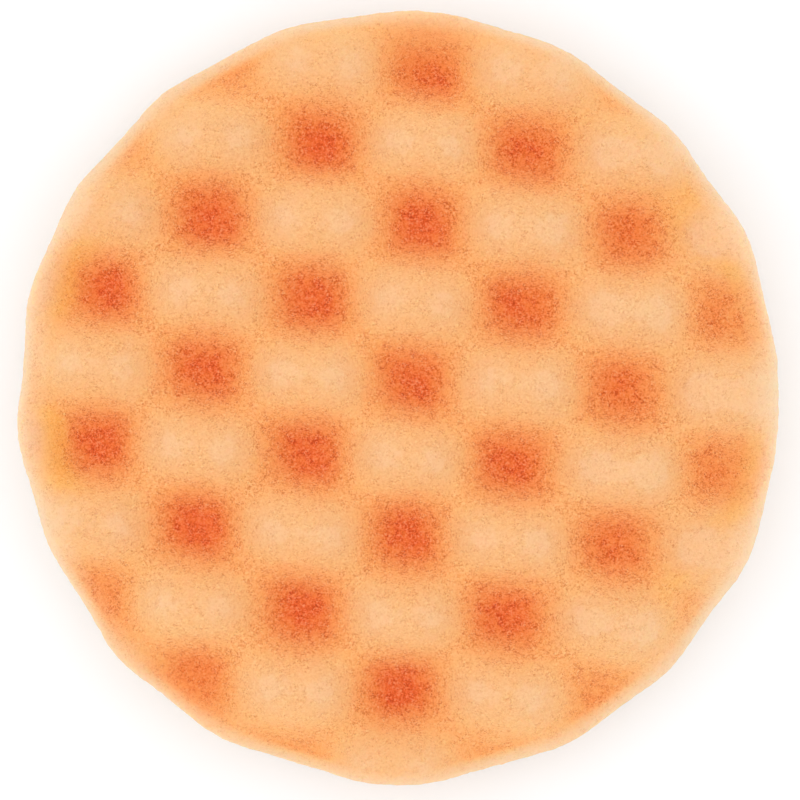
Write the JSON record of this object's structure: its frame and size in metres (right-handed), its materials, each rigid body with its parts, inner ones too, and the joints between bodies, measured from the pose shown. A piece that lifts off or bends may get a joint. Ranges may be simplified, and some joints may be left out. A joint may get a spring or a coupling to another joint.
{
  "type": "polishing pad",
  "caption": "Round open-cell foam polishing pad with a waffle-patterned working face and a hook-and-loop pile on its back.",
  "frame": {"origin": "centre of the underside of the loop pile, which the pad lies on", "axes": "+Z along the pad's axis, from the loop pile to the waffle face; +X along the rows of pits, to within a few degrees"},
  "size_m": [0.15, 0.15, 0.025],
  "materials": {
    "foam": "soft matte open-cell polyurethane foam",
    "film": "thin hot-melt bonding film",
    "cloth": "close warp knit",
    "pile": "brushed nylon loops"
  },
  "bodies": {
    "root": {"loop_pile": "pile", "backing_cloth": "cloth", "bonding_film": "film", "waffle_foam": "foam"}
  },
  "joints": []
}
